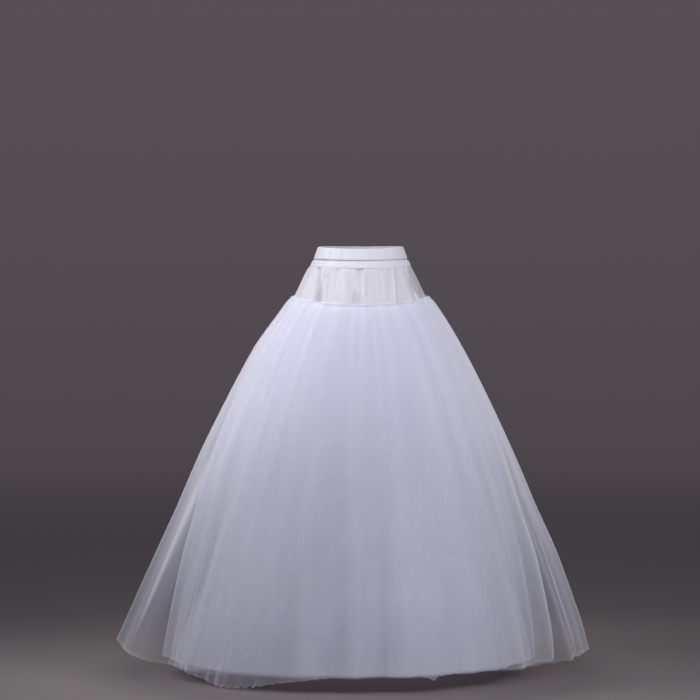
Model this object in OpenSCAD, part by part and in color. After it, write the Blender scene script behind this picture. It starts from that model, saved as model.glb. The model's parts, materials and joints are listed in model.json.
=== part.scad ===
// Hoopless crinoline petticoat: an elastic waistband, a gathered hip yoke,
// an opaque A-line lining with a net flounce, and three tulle skirts over it.
// Millimetres. The origin is the centre of the waist opening, level with the
// top edge of the band at the back. +Z is up and the front faces -Y.

/* [Waistband] */
// Width of the waist from side to side, outside the band
waist_w = 226; // [200:1:280]
// Depth of the waist from front to back, outside the band
waist_d = 172; // [150:1:230]
// Height of the waistband
band_h = 32; // [24:1:45]
// How far the band widens on each side towards its lower edge
band_flare = 12; // [4:1:20]
// How much lower the waistline is at the front than at the back
waist_dip = 10; // [0:1:20]
// Height of the elastic in the band
elastic_h = 20; // [12:1:20]
// Height of the stay tape under the band
tape_h = 17; // [10:1:24]

/* [Hip yoke] */
// Width across the hip seam
hip_w = 346; // [320:1:390]
// Depth from front to back at the hip seam
hip_d = 284; // [260:1:320]
// Drop from the waistline to the hip seam at the back
yoke_drop = 131; // [112:1:160]
// How much lower the hip seam is at the front than at the back
hip_dip = 31; // [0:1:45]
// Height of the seam where yoke, lining and tulle lie on one another
seam_h = 12; // [8:1:18]
// Number of gathered folds around the yoke
yoke_folds = 18; // [10:1:24]
// Depth of the yoke's gathered folds
yoke_fold_depth = 4; // [1:0.5:6]
// Depth of the two tucks at the sides of the front
tuck_depth = 13; // [0:1:18]

/* [Tulle skirts] */
// Width of the outer tulle across its hem
outer_w = 1214; // [1130:1:1300]
// Depth of the outer tulle across its hem, from front to back
outer_d = 1136; // [1060:1:1220]
// Length of the outer tulle from the waistline to the hem at the back
outer_length = 1064; // [990:1:1120]
// How far inside the outer hem the middle tulle's hem hangs
middle_in = 94; // [75:1:110]
// How far inside the middle hem the inner tulle's hem hangs
inner_in = 58; // [48:1:70]
// How much longer the middle and inner tulle are than the outer
under_drop = 17; // [0:1:30]
// How much the left side of the outer hem stands up
hem_lift = 26; // [0:1:50]
// How much lower the inner tulle hangs at the left
inner_sag = 24; // [0:1:30]
// How far the hems lean to the left of the waist
hem_sway = 17; // [0:1:30]
// Depth of the flutes at the hem of the outer tulle
outer_flute = 18; // [0:1:24]
// Depth of the flutes at the hem of the middle tulle
middle_flute = 15; // [0:1:18]
// Depth of the flutes at the hem of the inner tulle
inner_flute = 11; // [0:1:13]

/* [Lining] */
// How far inside the inner tulle's hem the net flounce's hem hangs
flounce_in = 32; // [28:1:38]
// How far inside the flounce's hem the lining's hem hangs
lining_in = 34; // [28:1:60]
// How much longer the lining is than the outer tulle
lining_drop = 28; // [0:1:40]
// Depth of the lining's soft folds at the hem
lining_fold = 6; // [0:1:8]
// Height of the net flounce on the lining
flounce_h = 235; // [180:1:280]
// Depth of the flounce's ruffles at the hem
ruffle_depth = 7; // [0:1:9]
// How much lower the flounce hangs left of the front
flounce_sag = 22; // [0:1:30]

/* [Cloth] */
// Thickness of the band's cloth
band_cloth = 0.9; // [0.6:0.1:1.2]
// Thickness of the elastic, and of the yoke's edge that lies under it
elastic_t = 1.2; // [0.8:0.1:1.6]
// Thickness of the stay tape
tape_t = 1.3; // [0.8:0.1:1.6]
// Thickness of each tulle skirt
tulle_t = 0.9; // [0.6:0.1:1.2]
// Thickness of the lining
lining_t = 0.9; // [0.6:0.1:1.2]
// Gap between cloths that lie on one another
clearance = 0.25; // [0.2:0.05:0.3]

/* [Hidden] */

satin_white = [0.93, 0.93, 0.96];
tape_white = [0.90, 0.90, 0.94];
elastic_white = [0.86, 0.86, 0.87];
lining_white = [0.88, 0.88, 0.94];
net_white = [0.82, 0.82, 0.91];
tulle_white = [0.84, 0.84, 0.93, 0.6];

// The cloth is drawn as flat facets at these steps round the waist.
facets = 72;
step = 360 / facets;
all_round = [for (i = [0 : facets - 1]) i * step];
front_half = [for (i = [facets / 2 : facets]) i * step];
back_half = [for (i = [0 : facets / 2]) i * step];

// The side gores of the lining reach this far to either side. The others meet in front and behind.
gore_seam = step * 8;

// Angles of one of the panels that are sewn into a skirt, from its first seam.
function panel(first, span) = [for (i = [0 : round(span / step)]) (first + i * step) % 360];

// From the band's outer face to what lies in it, and the room that is left there.
band_in = band_cloth + clearance;
fold_over = 8;
yoke_h = yoke_drop - band_h;
tape_share = tape_h / yoke_h;
seam_share = seam_h / yoke_h;

// The seam's cloths from inside to outside, each by its outer face from the yoke's.
lining_off = -elastic_t - clearance;
inner_off = clearance + tulle_t;
middle_off = inner_off + clearance + tulle_t;
outer_off = middle_off + clearance + tulle_t;

// Angles of the two tucks: left of the front, and near the right side.
tuck_angles = [229, 337];
tuck_spread = 7;

// How far inside the outer tulle's hem each layer's hem hangs.
inner_inset = middle_in + inner_in;
flounce_inset = inner_inset + flounce_in;
lining_inset = flounce_inset + lining_in;
under_length = outer_length + under_drop;
lining_length = outer_length + lining_drop;

// The outer tulle flares by one power of its length, and the layers under it part
// from it by another, so they lie close at the hips and apart at the hem.
flare_power = 0.78;
parting_power = 1.4;
fold_power = 1.2;

// A skirt is [inset of its hem, length, flutes, flute depth, phase of its flutes,
// distance from the yoke's face, lift of its left side, where its folds begin,
// how narrow the lift is].
outer_skirt = [0, outer_length, 14, outer_flute, 40, outer_off, hem_lift, 0, 20];
middle_skirt = [middle_in, under_length, 15, middle_flute, 150, middle_off, 0, 0, 1];
inner_skirt = [inner_inset, under_length, 18, inner_flute, 265, inner_off, -inner_sag, 0, 1];
flounce_foot = 1 - flounce_h / (lining_length - yoke_drop);
lining_skirt = [lining_inset, lining_length, 12, lining_fold, 90, lining_off, -8, flounce_foot + 0.04, 1];
sag_angle = 226;
sag_spread = 24;

function mix(a, b, s) = a + (b - a) * s;

// 1 at the front, a quarter at the sides and 0 at the back.
function front(t) = pow((1 - sin(t)) / 2, 2);
function left(t) = pow((1 - cos(t)) / 2, 3);

function waist_z(t, drop) = -waist_dip * front(t) - drop;
function hip_z(t) = -yoke_drop - hip_dip * front(t);
function oval(a, b, t, z) = [a * cos(t), b * sin(t), z];

// Rounded flutes of uneven width, with narrow crests and wide valleys.
function flutes(t, count, phase) =
    let (p = count * (t + 4 * sin(3 * t + phase)) + phase)
    (cos(p) + 0.25 * cos(2 * p)) * (0.8 + 0.2 * cos(2 * t + phase));

function turn_between(a, b) = let (d = (a - b + 540) % 360) d - 180;
function tucks(t) = -tuck_depth * max([for (a = tuck_angles) exp(-pow(turn_between(t, a) / tuck_spread, 2))]);

// A point of the band: s is 0 at its top edge and 1 at its lower edge.
function band_point(t, s, out) =
    oval(waist_w / 2 + band_flare * s + out, waist_d / 2 + band_flare * s + out, t, waist_z(t, band_h * s));

// A point of the yoke's outer face: s is 0 under the band and 1 at its lower edge.
function yoke_swell(s) = s < tape_share ? 0 : min(1, (s - tape_share) / 0.25);
function yoke_gather(t, s) =
    yoke_fold_depth * mix(1, 0.4, s) * yoke_swell(s) * (flutes(t, yoke_folds, 20) - 0.5);
function yoke_point(t, s, out, tuck = 1) =
    let (a = mix(waist_w / 2 + band_flare - band_in, hip_w / 2, s),
         b = mix(waist_d / 2 + band_flare - band_in, hip_d / 2, s),
         fold = yoke_gather(t, s) + tuck * tucks(t) * yoke_swell(s) * s)
    oval(a + fold + out, b + fold + out, t, mix(waist_z(t, band_h), hip_z(t), s));

// A point of a skirt's outer face: u is 0 at the hip seam and 1 at the hem.
function skirt_point(k, t, u, out) =
    let (flare = pow(u, flare_power),
         grown = max(0, u - k[7]) / (1 - k[7]),
         folds = k[3] * pow(grown, fold_power) * flutes(t, k[2], k[4]),
         seam = yoke_gather(t, 1) + (k[5] < 0 ? tucks(t) : 0) + k[5],
         shift = mix(seam, 0, flare) - k[0] * pow(u, parting_power) + folds + out,
         hem = -k[1] + k[6] * pow(left(t), k[8]),
         p = oval(mix(hip_w, outer_w, flare) / 2 + shift, mix(hip_d, outer_d, flare) / 2 + shift,
                  t, mix(hip_z(t), hem, u)))
    [p[0] - hem_sway * u * u, p[1], p[2]];

// A point of the flounce: v is 0 where it leaves the lining and 1 at its hem.
function flounce_point(t, v, out) =
    let (on = skirt_point(lining_skirt, t, mix(flounce_foot, 1, v), 0),
         spread = lining_in * pow(v, 0.8) + ruffle_depth * v * flutes(t, 18, 0) + clearance + tulle_t + out,
         sag = flounce_sag * exp(-pow(turn_between(t, sag_angle) / sag_spread, 2)))
    [on[0] + spread * cos(t), on[1] + spread * sin(t), on[2] - sag * v * v];

// A closed solid through rings of points. Each ring joins the next and the last
// joins the first. An open ring's two ends get flat caps. The inner rings' facets
// are split along the same diagonals as the outer ones, so that cloths nest.
module loft(rings, round) {
    n = len(rings[0]);
    m = len(rings);
    spans = round ? n : n - 1;
    sides = [for (i = [0 : m - 1], j = [0 : spans - 1])
        let (a = i * n + j, b = i * n + (j + 1) % n,
             c = (i + 1) % m * n + (j + 1) % n, d = (i + 1) % m * n + j)
        each i < m / 2 ? [[a, b, c], [a, c, d]] : [[a, b, d], [b, c, d]]];
    ends = round ? [] : [for (i = [0 : m / 2 - 2])
        let (a = i * n, b = (i + 1) * n, c = (m - 2 - i) * n, d = (m - 1 - i) * n, e = n - 1)
        each [[a, b, c], [a, c, d], [a + e, c + e, b + e], [a + e, d + e, c + e]]];
    polyhedron([for (r = rings) each r], concat(sides, ends));
}

// Cloth of one thickness. Each row is a function of the angle and of the distance
// out from the row's own face.
module cloth(rows, angles, thick) {
    outside = [for (row = rows) [for (t = angles) row(t, 0)]];
    inside = [for (i = [len(rows) - 1 : -1 : 0]) [for (t = angles) rows[i](t, -thick)]];
    loft(concat(outside, inside), len(angles) == facets);
}

// A strip folded over the top of the waist: two walls that are open below.
module waistband_casing() {
    wall = 2 * band_in + elastic_t;
    top = band_cloth / band_h;
    rings = [for (p = [[0, 0], [1, 0], [1, -band_cloth], [top, -band_cloth],
                       [top, band_cloth - wall], [1, band_cloth - wall], [1, -wall], [0, -wall]])
        [for (t = all_round) band_point(t, p[0], p[1])]];
    color(satin_white) loft(rings, true);
}

module waist_elastic() {
    first = (band_cloth + clearance) / band_h;
    rows = [for (s = [first, first + elastic_h / band_h]) function(t, out) band_point(t, s, out - band_in)];
    color(elastic_white) cloth(rows, all_round, elastic_t);
}

// The narrow band of cloth that covers the seam under the waistband.
module stay_tape() {
    rows = [for (s = [clearance / yoke_h, tape_share])
        function(t, out) yoke_point(t, s, out + clearance + tape_t)];
    color(tape_white) cloth(rows, all_round, tape_t);
}

// One half of the yoke. Its top edge is held between the walls of the band.
module yoke_panel(angles) {
    held = 1 - fold_over / band_h;
    rows = concat([function(t, out) band_point(t, held, out - band_in)],
                  [for (s = [0, tape_share, 0.5, 1 - seam_share, 1]) function(t, out) yoke_point(t, s, out)]);
    color(satin_white) cloth(rows, angles, elastic_t);
}

// Stations of a skirt: its seam on the yoke, then the given shares of its length.
function skirt_rows(k, shares) =
    concat([function(t, out) yoke_point(t, 1 - seam_share, out + k[5], k[5] < 0 ? 1 : 0)],
           [for (u = shares) function(t, out) skirt_point(k, t, u, out)]);

// One of the six gores of the lining, from its first seam.
module lining_gore(first, span) {
    color(lining_white)
        cloth(skirt_rows(lining_skirt, [0, 0.05, 0.16, 0.42, flounce_foot - 0.03, flounce_foot + 0.04, 1]),
              panel(first, span), lining_t);
}

module net_flounce() {
    rows = [for (v = [0, 0.04 / (1 - flounce_foot), 0.5, 1]) function(t, out) flounce_point(t, v, out)];
    color(net_white) cloth(rows, all_round, tulle_t);
}

// One of the four panels of a tulle skirt.
module tulle_panel(k, shares, first) {
    color(tulle_white) cloth(skirt_rows(k, shares), panel(first, 90), tulle_t);
}

inner_shares = [0, 0.05, 0.16, 0.45, 1];
middle_shares = [0, 0.05, 0.16, 0.42, 0.7, 1];
outer_shares = [0, 0.05, 0.16, 0.32, 0.53, 0.76, 1];

waistband_casing();
waist_elastic();
stay_tape();
yoke_panel(front_half);  // yoke_front
yoke_panel(back_half);  // yoke_back
lining_gore(360 - gore_seam, 2 * gore_seam);  // lining_left
lining_gore(gore_seam, 90 - gore_seam);  // lining_back_left
lining_gore(90, 90 - gore_seam);  // lining_back_right
lining_gore(180 - gore_seam, 2 * gore_seam);  // lining_right
lining_gore(180 + gore_seam, 90 - gore_seam);  // lining_front_right
lining_gore(270, 90 - gore_seam);  // lining_front_left
net_flounce();
tulle_panel(inner_skirt, inner_shares, 225);  // tulle_inner_front
tulle_panel(inner_skirt, inner_shares, 315);  // tulle_inner_left
tulle_panel(inner_skirt, inner_shares, 45);  // tulle_inner_back
tulle_panel(inner_skirt, inner_shares, 135);  // tulle_inner_right
tulle_panel(middle_skirt, middle_shares, 225);  // tulle_middle_front
tulle_panel(middle_skirt, middle_shares, 315);  // tulle_middle_left
tulle_panel(middle_skirt, middle_shares, 45);  // tulle_middle_back
tulle_panel(middle_skirt, middle_shares, 135);  // tulle_middle_right
tulle_panel(outer_skirt, outer_shares, 225);  // tulle_outer_front
tulle_panel(outer_skirt, outer_shares, 315);  // tulle_outer_left
tulle_panel(outer_skirt, outer_shares, 45);  // tulle_outer_back
tulle_panel(outer_skirt, outer_shares, 135);  // tulle_outer_right
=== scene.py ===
import json
import math

import bpy
import numpy as np
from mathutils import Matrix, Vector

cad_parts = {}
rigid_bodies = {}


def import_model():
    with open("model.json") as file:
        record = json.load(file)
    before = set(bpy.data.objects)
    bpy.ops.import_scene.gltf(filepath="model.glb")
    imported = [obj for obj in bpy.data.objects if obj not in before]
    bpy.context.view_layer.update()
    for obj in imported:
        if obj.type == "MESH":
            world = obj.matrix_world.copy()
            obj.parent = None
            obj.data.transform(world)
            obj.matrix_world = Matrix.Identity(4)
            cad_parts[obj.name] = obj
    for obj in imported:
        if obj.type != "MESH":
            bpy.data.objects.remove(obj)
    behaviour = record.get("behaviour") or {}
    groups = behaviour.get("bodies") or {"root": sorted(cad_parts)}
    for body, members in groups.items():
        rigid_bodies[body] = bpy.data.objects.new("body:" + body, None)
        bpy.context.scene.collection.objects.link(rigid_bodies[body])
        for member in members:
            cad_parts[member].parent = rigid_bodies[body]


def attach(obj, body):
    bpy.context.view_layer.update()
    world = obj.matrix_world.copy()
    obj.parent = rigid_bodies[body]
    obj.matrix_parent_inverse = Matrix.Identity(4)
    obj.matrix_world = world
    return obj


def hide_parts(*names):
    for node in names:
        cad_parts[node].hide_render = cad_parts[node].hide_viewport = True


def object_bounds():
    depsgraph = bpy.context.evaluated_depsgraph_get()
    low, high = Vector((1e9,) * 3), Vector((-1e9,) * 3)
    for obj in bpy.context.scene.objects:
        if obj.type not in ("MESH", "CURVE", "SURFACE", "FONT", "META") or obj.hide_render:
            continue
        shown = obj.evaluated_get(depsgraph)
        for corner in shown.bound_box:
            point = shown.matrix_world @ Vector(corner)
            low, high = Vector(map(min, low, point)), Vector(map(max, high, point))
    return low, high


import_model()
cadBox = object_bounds()
scene = bpy.context.scene
print("frame loaded")

# Camera at the photograph's height and distance, in front of the waist.
eye = {"place": (-0.028, -7.0, -0.188), "dip": 0.72, "lens": 136.1, "sensor": 36.0}
bpy.ops.object.camera_add(location=eye["place"], rotation=(math.radians(90 - eye["dip"]), 0, 0))
camera = bpy.context.object
camera.name = "camera"
camera.data.lens = eye["lens"]
camera.data.sensor_width = eye["sensor"]
camera.data.clip_end = 60
scene.camera = camera
print("camera placed")

# Sizes of the frame, in metres. Angles go round the waist from the right of the picture.
waist = {"width": 0.226, "depth": 0.172, "height": 0.032, "flare": 0.012, "dip": 0.010,
         "wall": 0.0035, "inset": 0.00115}
hip = {"width": 0.346, "depth": 0.284, "drop": 0.131, "dip": 0.031, "length": 0.099,
       "tape": 0.1717, "seam": 0.05, "folds": 18, "fold": 0.004,
       "tuck": 0.013, "tuckAngles": (229, 337), "tuckSpread": 7}
skirt = {"width": 1.214, "depth": 1.136, "flare": 0.78, "fold": 1.2, "sway": 0.017}
full = 2 * math.pi


def mix(a, b, s):
    return a + (b - a) * s


def smooth(low, high, v):
    s = np.clip((v - low) / (high - low), 0, 1)
    return s * s * (3 - 2 * s)


def front(t):
    return ((1 - np.sin(t)) / 2) ** 2


def left(t):
    return ((1 - np.cos(t)) / 2) ** 3


def bump(t, degrees, spread):
    away = (np.degrees(t) - degrees + 540) % 360 - 180
    return np.exp(-(away / spread) ** 2)


def flutes(t, count, degrees):
    # Uneven flutes round the oval, with the same formula as the solids.
    turn = math.radians(degrees)
    p = count * (t + math.radians(4) * np.sin(3 * t + turn)) + turn
    return (np.cos(p) + 0.25 * np.cos(2 * p)) * (0.8 + 0.2 * np.cos(2 * t + turn))


def ripple(t, v, seed, folds, waves, count=6):
    # Soft uneven folds round the waist, from a few waves with fixed random phases.
    draw = np.random.default_rng(seed)
    total = 0
    for _ in range(count):
        n = draw.integers(folds[0], folds[1] + 1)
        w = draw.uniform(waves[0], waves[1])
        total = total + np.cos(n * t + full * w * v + draw.uniform(0, full))
    return total / math.sqrt(count)


def wrinkles(t, v, k, shift=0):
    return k["height"] * ripple(t, v, k["seed"] + shift, k["folds"], k["waves"], k["count"])


def oval(a, b, t, z):
    return np.stack(np.broadcast_arrays(a * np.cos(t), b * np.sin(t), z), -1)


def bandPoint(t, s, out):
    grow = waist["flare"] * s + out
    z = -waist["dip"] * front(t) - waist["height"] * s
    return oval(waist["width"] / 2 + grow, waist["depth"] / 2 + grow, t, z)


def hipHeight(t):
    return -hip["drop"] - hip["dip"] * front(t)


def yokeSwell(s):
    return np.clip((s - hip["tape"]) / 0.25, 0, 1)


def yokeGather(t, s):
    return hip["fold"] * mix(1, 0.4, s) * yokeSwell(s) * (flutes(t, hip["folds"], 20) - 0.5)


def tucks(t):
    return -hip["tuck"] * np.maximum(*[bump(t, a, hip["tuckSpread"]) for a in hip["tuckAngles"]])


def yokePoint(t, s, out, tuck=1):
    top = waist["flare"] - waist["inset"]
    shift = yokeGather(t, s) + tuck * tucks(t) * yokeSwell(s) * s + out
    a = mix(waist["width"] / 2 + top, hip["width"] / 2, s) + shift
    b = mix(waist["depth"] / 2 + top, hip["depth"] / 2, s) + shift
    under = -waist["dip"] * front(t) - waist["height"]
    return oval(a, b, t, mix(under, hipHeight(t), s))


def calmness(k, t):
    return 1 - sum(c["share"] * bump(t, c["turn"], c["spread"]) for c in k.get("calm", ()))


# The outer hem turns up in a short peak at the left corner, with a longer slope on its front.
peak = {"turn": 179, "spread": 7, "frontShare": 0.38, "frontSpread": 24}


def cornerLift(t):
    away = (np.degrees(t) - peak["turn"] + 540) % 360 - 180
    slope = np.where(away < 0, 0, peak["frontShare"])
    sharp = np.exp(-(away / peak["spread"]) ** 2)
    return mix(sharp, np.exp(-(away / peak["frontSpread"]) ** 2), slope)


def parted(k, u):
    # How far a skirt hangs inside the outer one.
    return k["inset"] * u ** k["part"]


def skirtPoint(k, t, u, out, drop=0):
    flare = u ** skirt["flare"]
    grown = smooth(*k["start"], u) * u ** skirt["fold"]
    seam = yokeGather(t, 1) + (tucks(t) if k["off"] < 0 else 0) + k["off"]
    shift = mix(seam, 0, flare) - parted(k, u)
    shift = shift + calmness(k, t) * k["flute"] * grown * flutes(t, k["flutes"], k["phase"]) + out
    hem = -k["length"] + k["lift"] * left(t) + k.get("corner", 0) * cornerLift(t) - drop
    a = mix(hip["width"], skirt["width"], flare) / 2 + shift
    b = mix(hip["depth"], skirt["depth"], flare) / 2 + shift
    p = oval(a, b, t, mix(hipHeight(t), hem, u))
    p[..., 0] -= skirt["sway"] * (u * u + 0 * t)
    return p


# How much denser gathered net looks: the power of its fullness, and the most that counts.
closeUp = {"power": 2.5, "most": 4.0}


def gather(k, u):
    # How many times the flat cloth's width goes into the skirt's girth, down its length.
    flare = u ** skirt["flare"]
    a = mix(hip["width"], skirt["width"], flare) / 2 - parted(k, u)
    b = mix(hip["depth"], skirt["depth"], flare) / 2 - parted(k, u)
    girth = math.pi * (3 * (a + b) - np.sqrt((3 * a + b) * (a + 3 * b)))
    return np.minimum((k["cut"][0] / girth) ** closeUp["power"], closeUp["most"])


# Broad soft folds that all the skirts share, mostly down the front.
# Each: its angle and spread, how far it stands out, and the rows where it grows and where it fades.
sharedFolds = (
    {"turn": 262, "spread": 5.5, "out": -0.020, "grow": (0.45, 1.0)},
    {"turn": 277, "spread": 3.5, "out": -0.011, "grow": (0.3, 0.9)},
    {"turn": 243, "spread": 4, "out": -0.006, "grow": (0.2, 0.7)},
    {"turn": 303, "spread": 5, "out": -0.006, "grow": (0.1, 0.6)},
    {"turn": 269, "spread": 3.5, "out": 0.007, "grow": (0.3, 1.0)},
    {"turn": 287, "spread": 5, "out": 0.008, "grow": (0.3, 1.0)},
    {"turn": 251, "spread": 4, "out": 0.005, "grow": (0.3, 1.0)},
    {"turn": 180, "spread": 25, "out": 0.009, "grow": (0.03, 0.15), "fade": (0.65, 0.4)},
    {"turn": 355, "spread": 14, "out": 0.011, "grow": (0.55, 0.75), "fade": (1.08, 0.90)},
)
footSwell = {"turn": 186, "spread": 10, "out": 0.009}


def drape(t, u):
    total = footSwell["out"] * bump(t, footSwell["turn"], footSwell["spread"]) * u * u
    for fold in sharedFolds:
        height = fold["out"] * smooth(*fold["grow"], u)
        if "fade" in fold:
            height = height * smooth(*fold["fade"], u)
        total = total + height * bump(t, fold["turn"], fold["spread"])
    return total


def steps(count, low=0.0, high=360.0, closed=False):
    return np.radians(np.linspace(low, high, count, endpoint=not closed))[None, :]


# A cloth mesh from a grid of points, with a map in metres of cloth and a map of how dense it is.
def makeSheet(name, grid, closed, cut, dense=None):
    rows, cols = grid.shape[:2]
    spans = cols if closed else cols - 1
    i, j = np.meshgrid(np.arange(rows - 1), np.arange(spans), indexing="ij")
    i, j = i.ravel(), j.ravel()
    k = (j + 1) % cols
    quads = np.stack([i * cols + j, (i + 1) * cols + j, (i + 1) * cols + k, i * cols + k], 1)
    mesh = bpy.data.meshes.new(name)
    mesh.from_pydata(grid.reshape(-1, 3).tolist(), [], quads.tolist())
    across, down = cut[0] / spans, cut[1] / (rows - 1)
    corners = [(j, i), (j, i + 1), (j + 1, i + 1), (j + 1, i)]
    loops = np.stack([np.stack([c * across, r * down], 1) for c, r in corners], 1)
    mesh.uv_layers.new(name="cloth").data.foreach_set("uv", loops.astype(np.float32).ravel())
    edge = mesh.attributes.new("dense", "FLOAT", "POINT")
    values = np.ones(rows * cols) if dense is None else np.broadcast_to(dense, (rows, cols)).ravel()
    edge.data.foreach_set("value", values.astype(np.float32))
    mesh.polygons.foreach_set("use_smooth", [True] * len(quads))
    mesh.update()
    piece = bpy.data.objects.new(name, mesh)
    scene.collection.objects.link(piece)
    return piece


def makeActive(piece):
    bpy.ops.object.select_all(action="DESELECT")
    piece.select_set(True)
    bpy.context.view_layer.objects.active = piece


def applyModifier(piece, kind, **values):
    makeActive(piece)
    modifier = piece.modifiers.new(kind.lower(), kind)
    for key, value in values.items():
        setattr(modifier, key, value)
    bpy.ops.object.modifier_apply(modifier=modifier.name)


def thicken(piece, thickness, offset):
    applyModifier(piece, "SOLIDIFY", thickness=thickness, offset=offset, use_even_offset=True)


def finishPiece(piece, material, nodes=()):
    piece.data.materials.clear()
    piece.data.materials.append(material)
    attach(piece, "root")
    if nodes:
        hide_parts(*nodes)


def sheetArea(piece):
    return sum(p.area for p in piece.data.polygons)


# Node helpers for the materials.
def startMaterial(name):
    material = bpy.data.materials.new(name)
    material.use_nodes = True
    tree = material.node_tree
    shader = tree.nodes["Principled BSDF"]
    return material, tree, shader


def mathNode(tree, operation, *values):
    node = tree.nodes.new("ShaderNodeMath")
    node.operation = operation
    for socket, value in zip(node.inputs, values):
        if isinstance(value, bpy.types.NodeSocket):
            tree.links.new(value, socket)
        else:
            socket.default_value = value
    return node.outputs[0]


def clothMap(tree, scale, onSolid=False):
    if onSolid:
        source = tree.nodes.new("ShaderNodeTexCoord").outputs["Object"]
    else:
        uv = tree.nodes.new("ShaderNodeUVMap")
        uv.uv_map = "cloth"
        source = uv.outputs[0]
    mapping = tree.nodes.new("ShaderNodeMapping")
    mapping.inputs["Scale"].default_value = scale
    tree.links.new(source, mapping.inputs["Vector"])
    return mapping.outputs[0]


def noiseNode(tree, vector, scale, detail=2.0):
    node = tree.nodes.new("ShaderNodeTexNoise")
    node.inputs["Scale"].default_value = scale
    node.inputs["Detail"].default_value = detail
    tree.links.new(vector, node.inputs["Vector"])
    return node.outputs["Fac"]


def rampNode(tree, factor, dark, light, low=0.3, high=0.7):
    node = tree.nodes.new("ShaderNodeValToRGB")
    node.color_ramp.elements[0].position = low
    node.color_ramp.elements[0].color = (*dark, 1)
    node.color_ramp.elements[1].position = high
    node.color_ramp.elements[1].color = (*light, 1)
    tree.links.new(factor, node.inputs[0])
    return node.outputs[0]


# A honeycomb of threads: 1 on a thread and 0 in a hole, from three waves at 60 degrees.
threadEdge = {"From Min": -0.45, "From Max": -0.95, "To Min": 0.0, "To Max": 1.0}


def honeycomb(tree, vector, cell):
    split = tree.nodes.new("ShaderNodeSeparateXYZ")
    tree.links.new(vector, split.inputs[0])
    pace = full / (cell * math.sqrt(3) / 2)
    total = None
    for turn in (0, 60, 120):
        x = mathNode(tree, "MULTIPLY", split.outputs[0], pace * math.cos(math.radians(turn)))
        along = mathNode(tree, "MULTIPLY_ADD", split.outputs[1], pace * math.sin(math.radians(turn)), x)
        wave = mathNode(tree, "COSINE", along)
        total = wave if total is None else mathNode(tree, "ADD", total, wave)
    edge = tree.nodes.new("ShaderNodeMapRange")
    edge.interpolation_type = "SMOOTHSTEP"
    for key, value in threadEdge.items():
        edge.inputs[key].default_value = value
    tree.links.new(total, edge.inputs["Value"])
    return edge.outputs[0]


# Sheer net: its threads close up where the cloth is seen aslant.
net = {"streaks": (14, 1.2, 1), "thread": (0.4, 0.82), "uneven": (0.3, 0.85), "most": 0.9, "aslant": 0.12,
       "rough": 0.75, "specular": 0.2, "sheen": 1.0, "sheenTint": (0.90, 0.90, 1.0, 1), "sheenRough": 0.6}


def netMaterial(name, dark, light, cover, cell):
    material, tree, shader = startMaterial(name)
    vector = clothMap(tree, (1, 1, 1))
    streaks = noiseNode(tree, clothMap(tree, net["streaks"]), 1.0, 1.0)
    tree.links.new(rampNode(tree, streaks, dark, light), shader.inputs["Base Color"])
    threads = mathNode(tree, "MULTIPLY_ADD", honeycomb(tree, vector, cell), *net["thread"])
    uneven = mathNode(tree, "MULTIPLY_ADD", streaks, *net["uneven"])
    local = mathNode(tree, "MULTIPLY", mathNode(tree, "MULTIPLY", threads, uneven), cover)
    gathered = tree.nodes.new("ShaderNodeAttribute")
    gathered.attribute_name = "dense"
    local = mathNode(tree, "MULTIPLY", local, gathered.outputs["Fac"])
    local = mathNode(tree, "MINIMUM", local, net["most"])
    weight = tree.nodes.new("ShaderNodeLayerWeight")
    weight.inputs["Blend"].default_value = 0.5
    facing = mathNode(tree, "SUBTRACT", 1.0, weight.outputs["Facing"])
    facing = mathNode(tree, "MAXIMUM", facing, net["aslant"])
    holes = mathNode(tree, "SUBTRACT", 1.0, local)
    clear = mathNode(tree, "POWER", holes, mathNode(tree, "DIVIDE", 1.0, facing))
    tree.links.new(mathNode(tree, "SUBTRACT", 1.0, clear), shader.inputs["Alpha"])
    shader.inputs["Roughness"].default_value = net["rough"]
    shader.inputs["Specular IOR Level"].default_value = net["specular"]
    shader.inputs["Sheen Weight"].default_value = net["sheen"]
    shader.inputs["Sheen Tint"].default_value = net["sheenTint"]
    shader.inputs["Sheen Roughness"].default_value = net["sheenRough"]
    return material


# Woven cloth: crossed threads, faint slubs and a soft shine.
weave = {"slubs": (60, 9, 9), "slubHeight": 1.5, "pace": 0.314, "wobble": 0.6, "relief": 0.25, "reliefDepth": 0.2,
         "roughSpan": 0.15, "roughShift": 0.07, "specular": 0.3}


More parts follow.
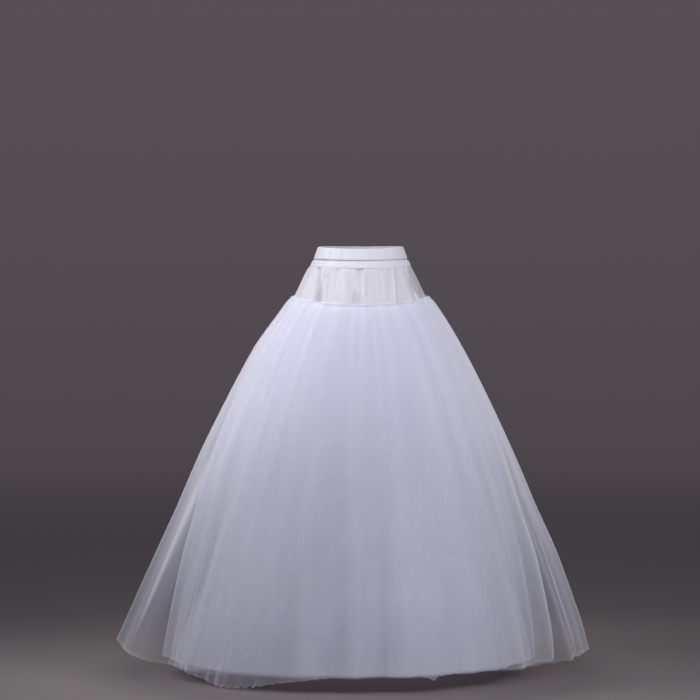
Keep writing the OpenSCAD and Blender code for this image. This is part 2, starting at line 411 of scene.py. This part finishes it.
def wovenMaterial(name, dark, light, thread, rough, sheen, cover=1.0, onSolid=False):
    material, tree, shader = startMaterial(name)
    slub = noiseNode(tree, clothMap(tree, weave["slubs"], onSolid), 1.0, 3.0)
    tree.links.new(rampNode(tree, slub, dark, light), shader.inputs["Base Color"])
    height = None
    for direction in ("X", "Z" if onSolid else "Y"):
        wave = tree.nodes.new("ShaderNodeTexWave")
        wave.bands_direction = direction
        wave.inputs["Scale"].default_value = weave["pace"] / thread
        wave.inputs["Distortion"].default_value = weave["wobble"]
        tree.links.new(clothMap(tree, (1, 1, 1), onSolid), wave.inputs["Vector"])
        ridge = wave.outputs["Fac"]
        height = ridge if height is None else mathNode(tree, "ADD", height, ridge)
    height = mathNode(tree, "MULTIPLY_ADD", slub, weave["slubHeight"], height)
    relief = tree.nodes.new("ShaderNodeBump")
    relief.inputs["Strength"].default_value = weave["relief"]
    relief.inputs["Distance"].default_value = thread * weave["reliefDepth"]
    tree.links.new(height, relief.inputs["Height"])
    tree.links.new(relief.outputs[0], shader.inputs["Normal"])
    worn = mathNode(tree, "MULTIPLY_ADD", slub, weave["roughSpan"], rough - weave["roughShift"])
    tree.links.new(worn, shader.inputs["Roughness"])
    shader.inputs["Specular IOR Level"].default_value = weave["specular"]
    shader.inputs["Sheen Weight"].default_value = sheen
    if cover < 1:
        sheerAndShade = tree.nodes.new("ShaderNodeAttribute")
        sheerAndShade.attribute_name = "dense"
        tree.links.new(mathNode(tree, "MULTIPLY", sheerAndShade.outputs["Fac"], cover), shader.inputs["Alpha"])
    return material


lilac = {"dark": (0.70, 0.705, 0.855), "light": (0.79, 0.795, 0.925)}
bandCloth = wovenMaterial("bandCloth", (0.60, 0.595, 0.68), (0.66, 0.655, 0.74), 0.0005, 0.5, 0.3)
tapeCloth = wovenMaterial("tapeCloth", (0.62, 0.615, 0.70), (0.68, 0.675, 0.76), 0.0005, 0.5, 0.3)
yokeCloth = wovenMaterial("yokeCloth", (0.63, 0.62, 0.70), (0.69, 0.68, 0.76), 0.0005, 0.55, 0.3, 0.92)
liningCloth = wovenMaterial("liningCloth", (0.72, 0.725, 0.87), (0.80, 0.805, 0.94), 0.0004, 0.45, 0.8)
elasticCloth = wovenMaterial("elasticCloth", (0.62, 0.62, 0.63), (0.78, 0.78, 0.79), 0.0016, 0.8, 0.1,
                             onSolid=True)
tulleNet = netMaterial("tulleNet", lilac["dark"], lilac["light"], 0.070, 0.0016)
stiffNet = netMaterial("stiffNet", lilac["dark"], lilac["light"], 0.25, 0.0022)
print("materials made")

# Waistband: one strip folded over the top of the waist, drawn up by the elastic.
band = {"columns": 600, "wallRows": 16, "foldRows": 7, "cut": (0.72, 0.074), "thick": 0.0005,
        "crown": 0.06, "foldRise": 0.05, "back": 0.0006, "roll": 0.0012, "rollRows": (0.86, 1.0),
        "lap": 0.0016, "lapStart": (182, 192), "lapEnd": (226.6, 225.4)}
bandWrinkle = {"height": 0.00022, "seed": 3, "folds": (38, 80), "waves": (0, 0.4), "count": 7,
               "top": (0.02, 0.2), "foot": (1.05, 0.93), "least": 0.5, "most": ((236, 14), (350, 12))}
t = steps(band["columns"], closed=True)
around = np.degrees(t)
reach = waist["wall"] / 2
wall = np.linspace(1.0, band["crown"], band["wallRows"])
arc = np.linspace(0, math.pi, band["foldRows"] + 2)[1:-1]
share = np.concatenate([wall, band["crown"] - band["foldRise"] * np.sin(arc), wall[::-1]])[:, None]
depth = np.concatenate([0 * wall, reach * (np.cos(arc) - 1), 0 * wall - 2 * reach])[:, None]
outside = depth > -reach
drawnUp = bandWrinkle["least"] + sum(bump(t, *place) for place in bandWrinkle["most"])
drawnUp = drawnUp * smooth(*bandWrinkle["top"], share) * smooth(*bandWrinkle["foot"], share)
rolled = band["roll"] * smooth(*band["rollRows"], share) * outside
lap = band["lap"] * smooth(*band["lapEnd"], around) * smooth(*band["lapStart"], around) * outside
out = depth - rolled + wrinkles(t, share, bandWrinkle) * drawnUp + lap - band["back"]
waistband = makeSheet("waistband", bandPoint(t, share, out), True, band["cut"])
thicken(waistband, band["thick"], 1)
finishPiece(waistband, bandCloth, ["waistband_casing"])
print("waistband made, area", round(sheetArea(waistband) / 2, 4))

elastic = next(o for o in bpy.data.objects if o.name == "waist_elastic")
elastic.data.materials.clear()
elastic.data.materials.append(elasticCloth)

# Stay tape: a folded tape over the seam under the band, with a groove where it lies double.
tape = {"columns": 600, "rows": 30, "top": 0.045, "cut": (0.80, 0.018), "thick": 0.0006,
        "crown": 0.0006, "edgeTurn": 0.12, "edge": (0.0004, 0.0001), "softRows": (0.5, 1.0), "firm": (268, 14),
        "groove": 0.0010, "grooveRow": 0.10, "grooveWidth": 0.008,
        "grooveStart": (184, 190), "grooveEnd": (228, 226)}
tapeWrinkle = {"height": 0.00020, "seed": 8, "folds": (40, 90), "waves": (0, 1.5), "count": 7}
rows = np.linspace(tape["top"], hip["tape"], tape["rows"])[:, None]
way = np.linspace(0, 1, tape["rows"])[:, None]
crown = np.sin(mix(tape["edgeTurn"], math.pi - tape["edgeTurn"], way)) ** 0.5
edge = mix(*tape["edge"], smooth(*tape["softRows"], way) * (1 - bump(t, *tape["firm"])))
groove = tape["groove"] * np.exp(-((rows - tape["grooveRow"]) / tape["grooveWidth"]) ** 2)
groove = groove * smooth(*tape["grooveEnd"], around) * smooth(*tape["grooveStart"], around)
out = edge + (tape["crown"] + wrinkles(t, rows, tapeWrinkle)) * crown - groove
stayTape = makeSheet("stayTape", yokePoint(t, rows, out), True, tape["cut"])
thicken(stayTape, tape["thick"], -1)
finishPiece(stayTape, tapeCloth, ["stay_tape"])
print("stay tape made, area", round(sheetArea(stayTape) / 2, 4))

# Yoke: two gathered panels from the band to the hip seam.
panel = {"columns": 420, "heldRows": 3, "heldFrom": 0.75, "tapeRows": 4, "rows": 44, "cut": (0.50, 0.130),
         "thick": 0.0006, "calm": 0.6, "calmRows": (1.0, 0.7), "back": 0.0003,
         "tuckIn": 0.0015, "tuckRows": (0.06, 0.03)}
yokeWrinkle = {"height": 0.0004, "seed": 12, "folds": (40, 74), "waves": (0, 0.3), "count": 8,
               "grow": (hip["tape"], 0.45), "fade": (1.12, 0.8)}
# Each crease: its angle, spread and height at its upper and its lower end, and the rows that it spans.
creases = (
    {"turn": (268, 271), "spread": (4.0, 1.0), "height": (-0.0032, -0.0026), "rows": (0.14, 0.74)},
    {"turn": (274, 274), "spread": (1.0, 1.0), "height": (0.0015, 0.0020), "rows": (0.25, 0.80)},
    {"turn": (266, 266), "spread": (1.2, 5.0), "height": (-0.0010, -0.0050), "rows": (0.62, 1.10)},
    {"turn": (310, 301), "spread": (1.6, 1.6), "height": (0.0050, 0.0022), "rows": (0.14, 1.05)},
    {"turn": (304, 296), "spread": (2.6, 2.6), "height": (-0.0025, -0.0015), "rows": (0.14, 1.00)},
    {"turn": (252, 255), "spread": (3.0, 3.0), "height": (0.0025, 0.0012), "rows": (0.14, 1.00)},
    {"turn": (243, 247), "spread": (2.4, 2.4), "height": (-0.0020, -0.0015), "rows": (0.14, 1.00)},
    {"turn": (213, 227), "spread": (3.5, 4.0), "height": (-0.0060, -0.0010), "rows": (0.14, 1.00)},
    {"turn": (222, 236), "spread": (1.4, 1.2), "height": (0.0010, 0.0045), "rows": (0.30, 1.06)},
    {"turn": (332, 340), "spread": (1.4, 1.4), "height": (0.0030, 0.0030), "rows": (0.14, 1.05)},
    {"turn": (180, 180), "spread": (20, 20), "height": (0.0035, 0.0035), "rows": (0.14, 1.10)},
)
# The cloth is see-through in one fold at the right side, whose rim leans; this fold is partly real see-through
# cloth and partly painted shade. Three creases are also made a little see-through, as painted shade that darkens
# them.
sideFold = {"rim": -26, "footLean": 7, "footRows": (0.6, 1.0), "topLean": 20, "topRows": (0.25, 0.10),
            "soft": 2.5, "back": (40, 2), "share": 0.62}
creaseShadeSpots = (
    {"turn": (213, 227), "spread": 3.5, "rows": (0.15, 0.6), "share": 0.35},
    {"turn": (266, 266), "spread": 5, "rows": (0.6, 0.75), "share": 0.15},
    {"turn": (268, 268), "spread": 3, "rows": (0.4, 0.2), "share": 0.1},
)
held = np.linspace(panel["heldFrom"], 1.0, panel["heldRows"] + 1)[:-1, None]
underTape = np.linspace(0, hip["tape"], panel["tapeRows"] + 1)[:-1]
rows = np.concatenate([underTape, np.linspace(hip["tape"], 1, panel["rows"])])[:, None]
rim = sideFold["rim"] + sideFold["footLean"] * smooth(*sideFold["footRows"], rows)
rim = rim + sideFold["topLean"] * smooth(*sideFold["topRows"], rows)
for name, low, high, node in (("yokeFront", 180, 360, "yoke_front"), ("yokeBack", 0, 180, "yoke_back")):
    t = steps(panel["columns"], low, high)
    out = wrinkles(t, rows, yokeWrinkle) * smooth(*yokeWrinkle["grow"], rows) * smooth(*yokeWrinkle["fade"], rows)
    out = out - panel["calm"] * yokeGather(t, rows) * smooth(*panel["calmRows"], rows)
    out = out - panel["tuckIn"] * smooth(*panel["tuckRows"], rows)
    for crease in creases:
        way = np.clip((rows - crease["rows"][0]) / (crease["rows"][1] - crease["rows"][0]), 0, 1)
        ends = smooth(0.0, 0.15, way) * smooth(1.0, 0.85, way)
        ridge = bump(t, mix(*crease["turn"], way), mix(*crease["spread"], way))
        out = out + mix(*crease["height"], way) * ridge * ends
    underBand = bandPoint(t, held, -waist["inset"] - panel["back"] + 0 * t)
    grid = np.concatenate([underBand, yokePoint(t, rows, out)])
    around = (np.degrees(t) + 180) % 360 - 180
    # The right side fold is see-through, partly real see-through cloth and partly painted shade.
    opened = smooth(rim - sideFold["soft"], rim + sideFold["soft"], around) * smooth(*sideFold["back"], around)
    sheerAndShade = 1 - sideFold["share"] * opened
    # Three creases are made a little see-through as painted shade, so the dark inside shows and darkens them.
    for shadeSpot in creaseShadeSpots:
        place = bump(t, mix(*shadeSpot["turn"], rows), shadeSpot["spread"])
        sheerAndShade = sheerAndShade - shadeSpot["share"] * place * smooth(*shadeSpot["rows"], rows)
    sheerAndShade = np.concatenate([np.ones((panel["heldRows"], panel["columns"])), sheerAndShade])
    yoke = makeSheet(name, grid, False, panel["cut"], sheerAndShade)
    thicken(yoke, panel["thick"], -1)
    finishPiece(yoke, yokeCloth, [node])
    print(name, "made, area", round(sheetArea(yoke) / 2, 4))

# Lining: six flared gores of opaque cloth under the tulle, sewn into one skirt.
lining = {"inset": 0.165, "part": 0.78, "length": 1.092, "flutes": 12, "flute": 0.006, "phase": 90,
          "off": -0.00145, "lift": -0.008, "start": (0.66, 1.0), "columns": 540, "rows": 96, "crowd": 1.15,
          "cut": (2.45, 1.0), "area": 1.90, "thick": 0.0005,
          "gores": ("left", "back_left", "back_right", "right", "front_right", "front_left"),
          "seams": (40, 90, 140, 220, 270, 320), "seamSpread": 0.5, "seamDepth": 0.0012, "seamRows": (0.02, 0.1)}
liningWave = {"height": 0.003, "seed": 21, "folds": (9, 20), "waves": (0, 0.6), "count": 6,
              "grow": (0.05, 0.5), "fade": (1.0, 0.6)}
topRows = 3


def sideways(t):
    return np.abs(np.cos(t)) ** 5


def seamRows(k, t):
    # The rows that lie on the yoke above the hip seam, with the lip that stands off at the sides.
    tops = np.linspace(1 - hip["seam"], 1, topRows + 1)[:-1, None]
    lip = k.get("lip", 0) * sideways(t)
    return yokePoint(t, tops, k["off"] + lip, 1 if k["off"] < 0 else 0)


t = steps(lining["columns"], closed=True)
u = np.linspace(0, 1, lining["rows"])[:, None] ** lining["crowd"]
soft = wrinkles(t, u, liningWave) * smooth(*liningWave["grow"], u) * smooth(*liningWave["fade"], u)
goreSeam = sum(bump(t, a, lining["seamSpread"]) for a in lining["seams"]) * smooth(*lining["seamRows"], u)
out = soft + drape(t, u) - lining["seamDepth"] * goreSeam
grid = np.concatenate([seamRows(lining, t), skirtPoint(lining, t, u, out)])
liningSkirt = makeSheet("lining", grid, True, lining["cut"])
thicken(liningSkirt, lining["thick"], -1)
finishPiece(liningSkirt, liningCloth, ["lining_" + g for g in lining["gores"]])
print("lining made, area", round(sheetArea(liningSkirt) / 2, 4))

# Flounce: stiff net, ruffled on to the lining. It sags at the front left and has one small tab at the right.
flounce = {"foot": 0.7555, "spread": 0.020, "bow": 0.8, "ruffles": 18, "ruffle": 0.005, "gap": 0.00115,
           "sag": 0.030, "sagAngle": 226, "sagSpread": 24, "short": 0.007,
           "tab": 0.011, "tabAngle": 294.5, "tabSpread": 2.2, "columns": 900, "rows": 40, "cut": (3.1, 0.25),
           "close": (0.0, 0.6), "hemClose": 0.3, "hemRows": (0.97, 1)}
flounceWrinkle = {"height": 0.0012, "seed": 31, "folds": (40, 75), "waves": (0, 0.3), "count": 8,
                  "grow": (0.02, 0.5)}
hemFrill = {"height": 0.0016, "seed": 33, "folds": (90, 150), "waves": (0, 0), "count": 8, "grow": (0.9, 1)}
t = steps(flounce["columns"], closed=True)
v = np.linspace(0, 1, flounce["rows"])[:, None]
along = mix(flounce["foot"], 1, v)
out = flounce["spread"] * v ** flounce["bow"] + flounce["gap"]
out = out + flounce["ruffle"] * v * flutes(t, flounce["ruffles"], 0)
out = out + wrinkles(t, v, flounceWrinkle) * smooth(*flounceWrinkle["grow"], v)
sag = (flounce["sag"] + flounce["short"]) * bump(t, flounce["sagAngle"], flounce["sagSpread"]) - flounce["short"]
sag = sag + flounce["tab"] * bump(t, flounce["tabAngle"], flounce["tabSpread"])
rise = wrinkles(t, v, hemFrill) * smooth(*hemFrill["grow"], v) - sag * v * v
grid = skirtPoint(lining, t, along, drape(t, along))
grid = grid + np.stack(np.broadcast_arrays(out * np.cos(t), out * np.sin(t), rise), -1)
dense = smooth(*flounce["close"], v) + flounce["hemClose"] * smooth(*flounce["hemRows"], v) + 0 * t
netFlounce = makeSheet("netFlounce", grid, True, flounce["cut"], dense)
finishPiece(netFlounce, stiffNet, ["net_flounce"])
print("flounce made, area", round(sheetArea(netFlounce), 4))

# Tulle skirts, from the inside out. Each is four panels sewn into one ring.
# Two narrow pleats in the outer skirt, where the net lies threefold.
pleats = ({"turn": (202, 195), "spread": (7.0, 0.8), "rows": (0.40, 0.60), "fade": 0.80, "extra": 1.8},
          {"turn": (341, 341), "spread": (0.5, 0.5), "rows": (0.70, 0.85), "fade": 0.995, "extra": 1.2})
# Where the flutes are calm: the angle, its spread, and the share that is taken off.
calmOuter = ({"turn": 200, "spread": 18, "share": 1.0}, {"turn": 345, "spread": 17, "share": 0.9})
calmInner = ({"turn": 210, "spread": 22, "share": 0.65}, {"turn": 335, "spread": 22, "share": 0.5})
tulle = {
    "tulleInner": {"inset": 0.133, "part": 1.4, "length": 1.081, "lift": -0.024, "off": 0.00115, "lip": 0.003,
                   "flutes": 18, "flute": 0.011, "phase": 265, "start": (0.15, 0.60), "calm": calmInner,
                   "rich": 1.5, "foot": 1.0, "right": 0.5, "wide": 0, "seed": 41, "pleats": (),
                   "cut": (3.1, 1.02), "area": 2.1},
    "tulleMiddle": {"inset": 0.117, "part": 2.0, "length": 1.081, "lift": 0.0, "off": 0.0023, "lip": 0.005,
                    "flutes": 15, "flute": 0.015, "phase": 150, "start": (0.15, 0.60), "calm": calmInner,
                    "rich": 1.5, "foot": 1.0, "right": 0.5, "wide": 0.034, "seed": 52, "pleats": (),
                    "cut": (3.4, 1.02), "area": 2.3},
    "tulleOuter": {"inset": 0.0, "part": 1.0, "length": 1.064, "lift": 0.0, "off": 0.00345, "lip": 0.008,
                   "flutes": 14, "flute": 0.018, "phase": 40, "start": (0.15, 0.60), "calm": calmOuter,
                   "rich": 1.0, "foot": 0.82, "right": 0.3, "wide": 0, "seed": 63, "pleats": pleats,
                   "corner": 0.024, "cut": (3.9, 1.05), "area": 2.5},
}
tulleGrid = {"columns": 720, "rows": 88, "crowd": 1.2, "seams": (45, 135, 225, 315), "seamSpread": 0.5,
             "seamClose": 0.2, "hemClose": 0.6, "hemRows": (0.994, 1.0), "richRows": (0.6, 1.0),
             "rightSpread": 40, "wideSpread": 55, "grow": (0.2, 0.6), "lipFall": 0.03}
# Ripples of every tulle skirt. The seed is added to the skirt's own.
rippleSmall = {"height": 0.0010, "seed": 0, "folds": (22, 44), "waves": (0, 0.5), "count": 7}
rippleBroad = {"height": 0.0030, "seed": 1, "folds": (4, 11), "waves": (0.3, 1.2), "count": 6, "rows": (1.3, 0.6)}
rippleFoot = {"height": 0.0008, "seed": 2, "folds": (44, 80), "waves": (0, 0.3), "count": 7, "rows": (0.86, 1.0)}
rippleSeam = {"height": 0.0002, "seed": 3, "folds": (70, 120), "waves": (0, 0.2), "count": 8,
              "rows": (0, 0.02), "fall": 0.05}
rippleHem = {"height": 0.0012, "seed": 4, "folds": (18, 60), "waves": (0, 0), "count": 8, "rows": (0.8, 1.0)}
t = steps(tulleGrid["columns"], closed=True)
u = np.linspace(0, 1, tulleGrid["rows"])[:, None] ** tulleGrid["crowd"]
panelSeams = sum(bump(t, a, tulleGrid["seamSpread"]) for a in tulleGrid["seams"])
for name, k in tulle.items():
    out = wrinkles(t, u, rippleSmall, k["seed"])
    out = out + wrinkles(t, u, rippleBroad, k["seed"]) * smooth(*rippleBroad["rows"], u)
    out = out + wrinkles(t, u, rippleFoot, k["seed"]) * smooth(*rippleFoot["rows"], u)
    out = out * calmness(k, t) * smooth(*tulleGrid["grow"], u) + drape(t, u)
    out = out + k["lip"] * sideways(t) * np.exp(-u / tulleGrid["lipFall"])
    out = out + k["wide"] * bump(t, 0, tulleGrid["wideSpread"]) * u * u
    nearSeam = np.exp(-u / rippleSeam["fall"]) * smooth(*rippleSeam["rows"], u)
    out = out + wrinkles(t, u, rippleSeam, k["seed"]) * nearSeam
    hemWave = wrinkles(t, u, rippleHem, k["seed"]) * smooth(*rippleHem["rows"], u)
    grid = np.concatenate([seamRows(k, t), skirtPoint(k, t, u, out, hemWave)])
    # The net looks denser where it is gathered, at its hem and seams, in its pleats and at the right.
    dense = 1 + tulleGrid["hemClose"] * smooth(*tulleGrid["hemRows"], u) + tulleGrid["seamClose"] * panelSeams
    dense = dense + k["right"] * bump(t, 0, tulleGrid["rightSpread"])
    dense = dense * gather(k, u) * mix(k["rich"], k["foot"], smooth(*tulleGrid["richRows"], u))
    for pleat in k["pleats"]:
        line = bump(t, mix(*pleat["turn"], u), mix(*pleat["spread"], u)) * smooth(*pleat["rows"], u)
        dense = dense * (1 + pleat["extra"] * line * smooth(1.0, pleat["fade"], u))
    dense = np.concatenate([np.full((topRows, tulleGrid["columns"]), dense[0].mean()), dense])
    piece = makeSheet(name, grid, True, k["cut"], dense)
    layer = "tulle_" + name[5:].lower()
    finishPiece(piece, tulleNet, [layer + side for side in ("_front", "_left", "_back", "_right")])
    print(name, "made, area", round(sheetArea(piece), 4))

# A round studio with a swept foot. Its floor carries painted light and shade: a pale pool of painted light in the
# middle, a darker ring of painted contact shadow just outside the hem, and a painted glow of bounce light under
# the skirt. The grey wall glows more towards the top, a painted light that also lights the scene faintly.
# Each stop: its share of the way out and up, the colour of the paper there with its painted light and shade, and
# its painted glow.
room = {"radius": 13.0, "height": 9.0, "sweep": 3.5, "way": 17.0,
        "paper": ((0.0, (0.20, 0.180, 0.184), (0.058, 0.043, 0.048)),
                  (0.035, (0.115, 0.103, 0.106), (0.018, 0.014, 0.015)),
                  (0.045, (0.16, 0.143, 0.147), (0.008, 0.006, 0.007)),
                  (0.10, (0.10, 0.09, 0.095), (0.010, 0.009, 0.010)),
                  (0.22, (0.06, 0.055, 0.06), (0.030, 0.025, 0.029)),
                  (0.70, (0.06, 0.055, 0.06), (0.070, 0.059, 0.068)),
                  (1.0, (0.06, 0.055, 0.06), (0.090, 0.076, 0.088)))}
floorLevel = min(cadBox[0][2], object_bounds()[0][2]) - 0.0005
bpy.ops.mesh.primitive_cylinder_add(vertices=128, radius=room["radius"], depth=room["height"],
                                    location=(0, 0, floorLevel + room["height"] / 2))
studio = bpy.context.object
studio.name = "studio"
bpy.ops.object.mode_set(mode="EDIT")
bpy.ops.mesh.select_all(action="DESELECT")
bpy.ops.object.mode_set(mode="OBJECT")
for face in studio.data.polygons:
    face.select = face.normal.z > 0.9
bpy.ops.object.mode_set(mode="EDIT")
bpy.ops.mesh.delete(type="FACE")
bpy.ops.object.mode_set(mode="OBJECT")
applyModifier(studio, "BEVEL", width=room["sweep"], segments=20, limit_method="ANGLE", angle_limit=0.5)
bpy.ops.object.shade_smooth()
paper, tree, shader = startMaterial("studioPaper")
split = tree.nodes.new("ShaderNodeSeparateXYZ")
tree.links.new(clothMap(tree, (1, 1, 1), True), split.inputs[0])
x2 = mathNode(tree, "POWER", split.outputs[0], 2.0)
away = mathNode(tree, "SQRT", mathNode(tree, "MULTIPLY_ADD", split.outputs[1], split.outputs[1], x2))
climb = mathNode(tree, "ADD", away, mathNode(tree, "ADD", split.outputs[2], room["height"] / 2))
share = mathNode(tree, "DIVIDE", climb, room["way"])
# Colour and glow by the share: the painted pool of light, the painted contact-shadow ring, the painted bounce
# glow and the painted wall glow.
for part, socket in ((1, "Base Color"), (2, "Emission Color")):
    ramp = tree.nodes.new("ShaderNodeValToRGB")
    for stop in room["paper"][1:-1]:
        ramp.color_ramp.elements.new(stop[0])
    for element, stop in zip(ramp.color_ramp.elements, room["paper"]):
        element.position = stop[0]
        element.color = (*stop[part], 1)
    tree.links.new(share, ramp.inputs[0])
    tree.links.new(ramp.outputs[0], shader.inputs[socket])
shader.inputs["Emission Strength"].default_value = 1.0
shader.inputs["Roughness"].default_value = 0.9
studio.data.materials.append(paper)

# Soft light from above the front, one lamp near the left hip, one at the right, and a weak one behind.
lamps = {
    "overFront": {"place": (0.0, -1.9, 1.7), "aim": (0, 0, -0.5), "size": 1.2, "power": 31.5},
    "rightFront": {"place": (1.6, -1.6, 0.9), "aim": (0, 0, -0.3), "size": 1.0, "power": 30},
    "leftHip": {"place": (-1.15, -0.3, 0.55), "aim": (-0.3, -0.05, -0.7), "size": 0.6, "power": 15.0},
    "overBack": {"place": (0.6, 3.2, 2.4), "aim": (0, 0, -0.4), "size": 2.0, "power": 14},
}
for name, lamp in lamps.items():
    bpy.ops.object.light_add(type="AREA", location=lamp["place"])
    light = bpy.context.object
    light.name = name
    light.data.size = lamp["size"]
    light.data.energy = lamp["power"]
    aim = [b - a for a, b in zip(lamp["place"], lamp["aim"])]
    yaw = math.atan2(aim[1], aim[0]) - math.pi / 2
    pitch = math.atan2(math.hypot(aim[0], aim[1]), -aim[2])
    light.rotation_euler = (pitch, 0, yaw)

ambient = {"colour": (0.95, 0.94, 1.0, 1), "strength": 0.08}
world = bpy.data.worlds.new("studioAir")
world.use_nodes = True
world.node_tree.nodes["Background"].inputs["Color"].default_value = ambient["colour"]
world.node_tree.nodes["Background"].inputs["Strength"].default_value = ambient["strength"]
scene.world = world
scene.view_settings.view_transform = "Standard"
scene.cycles.transparent_max_bounces = 24
print("studio and light made")
